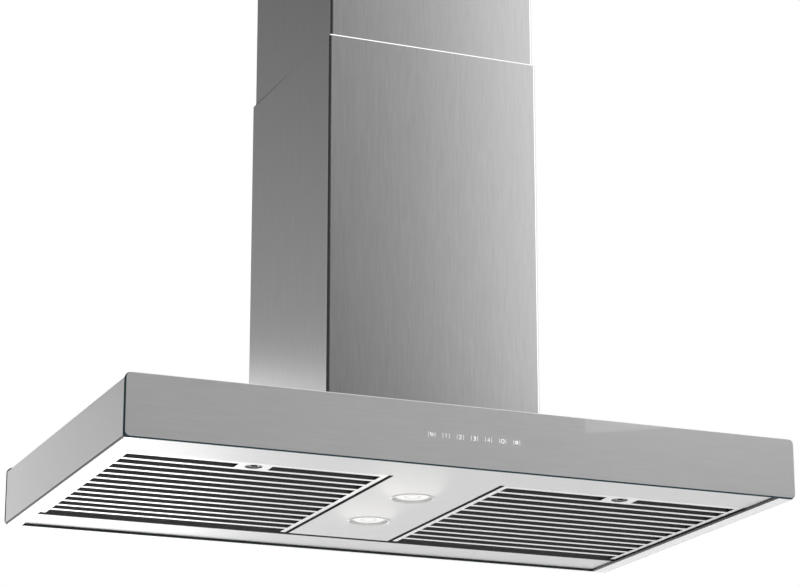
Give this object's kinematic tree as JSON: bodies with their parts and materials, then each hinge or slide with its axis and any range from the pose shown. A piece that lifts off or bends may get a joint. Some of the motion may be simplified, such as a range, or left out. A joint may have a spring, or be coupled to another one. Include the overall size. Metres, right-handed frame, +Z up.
{
  "type": "island range hood",
  "caption": "Ceiling-hung island range hood: a square telescoping steel chimney over a shallow canopy with glass front and back, touch controls, two lamps and baffle filters.",
  "frame": {"origin": "centre of the ceiling plate's top face, where the hood meets the ceiling", "axes": "+X along the canopy's long side to the right seen from the front, +Y from the front with the touch controls to the back, +Z up"},
  "size_m": [0.9, 0.55, 0.95],
  "materials": {
    "brushed_steel": "canopy sheet, fine brushed grain",
    "chimney_steel": "chimney sheet, vertical brushed grain",
    "galvanised_steel": "zinc-coated frame sheet",
    "grey_glass": "tempered glass painted grey on its back, so it is opaque",
    "black_plastic": "satin black moulding",
    "grey_plastic": "grey moulding",
    "circuit_board": "green solder mask",
    "lamp_lens": "frosted diffuser, lit",
    "satin_aluminium": "satin",
    "motor_steel": "dark grey enamel"
  },
  "bodies": {
    "ceiling_mount": {"ceiling_plate": "galvanised_steel", "upper_rail_front_left": "galvanised_steel", "upper_rail_front_right": "galvanised_steel", "upper_rail_back_left": "galvanised_steel", "upper_rail_back_right": "galvanised_steel", "upper_flue_cover": "chimney_steel", "upper_flue_back": "chimney_steel"},
    "hood": {"front_glass": "grey_glass", "back_glass": "grey_glass", "left_side_panel": "brushed_steel", "right_side_panel": "brushed_steel", "canopy_top": "brushed_steel", "front_inner_wall": "galvanised_steel", "back_inner_wall": "galvanised_steel", "light_panel": "brushed_steel", "back_strip": "brushed_steel", "front_lamp_bezel": "satin_aluminium", "front_lamp_lens": "lamp_lens", "front_lamp_can": "satin_aluminium", "back_lamp_bezel": "satin_aluminium", "back_lamp_lens": "lamp_lens", "back_lamp_can": "satin_aluminium", "touch_board": "circuit_board", "touch_board_cover": "black_plastic", "control_box": "grey_plastic", "control_box_lid": "grey_plastic", "power_board": "circuit_board", "led_driver": "black_plastic", "junction_box": "galvanised_steel", "junction_box_lid": "galvanised_steel", "cable_gland": "black_plastic", "lower_rail_front_left": "galvanised_steel", "lower_rail_front_right": "galvanised_steel", "lower_rail_back_left": "galvanised_steel", "lower_rail_back_right": "galvanised_steel", "lower_flue_cover": "chimney_steel", "lower_flue_back": "chimney_steel", "blower_box": "galvanised_steel", "scroll_wrap": "galvanised_steel", "scroll_left_side": "galvanised_steel", "scroll_right_side": "galvanised_steel", "motor": "motor_steel", "motor_bracket": "galvanised_steel", "run_capacitor": "grey_plastic", "duct_collar": "galvanised_steel", "damper_pin": "motor_steel"},
    "left_filter": {"left_filter_frame": "brushed_steel", "left_filter_baffles": "brushed_steel", "left_latch_guide": "galvanised_steel"},
    "right_filter": {"right_filter_frame": "brushed_steel", "right_filter_baffles": "brushed_steel", "right_latch_guide": "galvanised_steel"},
    "left_latch": {"left_latch_bolt": "black_plastic"},
    "right_latch": {"right_latch_bolt": "black_plastic"},
    "fan_wheel": {"impeller": "grey_plastic", "motor_shaft": "motor_steel", "impeller_nut": "motor_steel"},
    "left_flap": {"damper_flap_left": "satin_aluminium"},
    "right_flap": {"damper_flap_right": "satin_aluminium"}
  },
  "joints": [
    {"name": "height_adjust", "type": "slide", "parent": "ceiling_mount", "child": "hood", "axis": [0, 0, 1], "range_m": [-0.06, 0.3]},
    {"name": "left_filter_swing", "type": "hinge", "parent": "hood", "child": "left_filter", "pos_m": [-0.2513, 0.2042, -0.9408], "axis": [1, 0, 0], "range_deg": [0, 75]},
    {"name": "right_filter_swing", "type": "hinge", "parent": "hood", "child": "right_filter", "pos_m": [0.2513, 0.2042, -0.9408], "axis": [1, 0, 0], "range_deg": [0, 75]},
    {"name": "left_latch_slide", "type": "slide", "parent": "left_filter", "child": "left_latch", "axis": [0, 1, 0], "range_m": [0, 0.004], "stiffness_N_per_m": 400, "springref_m": -0.004},
    {"name": "right_latch_slide", "type": "slide", "parent": "right_filter", "child": "right_latch", "axis": [0, 1, 0], "range_m": [0, 0.004], "stiffness_N_per_m": 400, "springref_m": -0.004},
    {"name": "fan_spin", "type": "hinge", "parent": "hood", "child": "fan_wheel", "pos_m": [0, -0.033, -0.745], "axis": [1, 0, 0], "continuous": true},
    {"name": "left_flap_swing", "type": "hinge", "parent": "hood", "child": "left_flap", "pos_m": [0, 0, -0.5837], "axis": [0, 1, 0], "range_deg": [0, 75]},
    {"name": "right_flap_swing", "type": "hinge", "parent": "hood", "child": "right_flap", "pos_m": [0, 0, -0.5837], "axis": [0, -1, 0], "range_deg": [0, 75]}
  ]
}
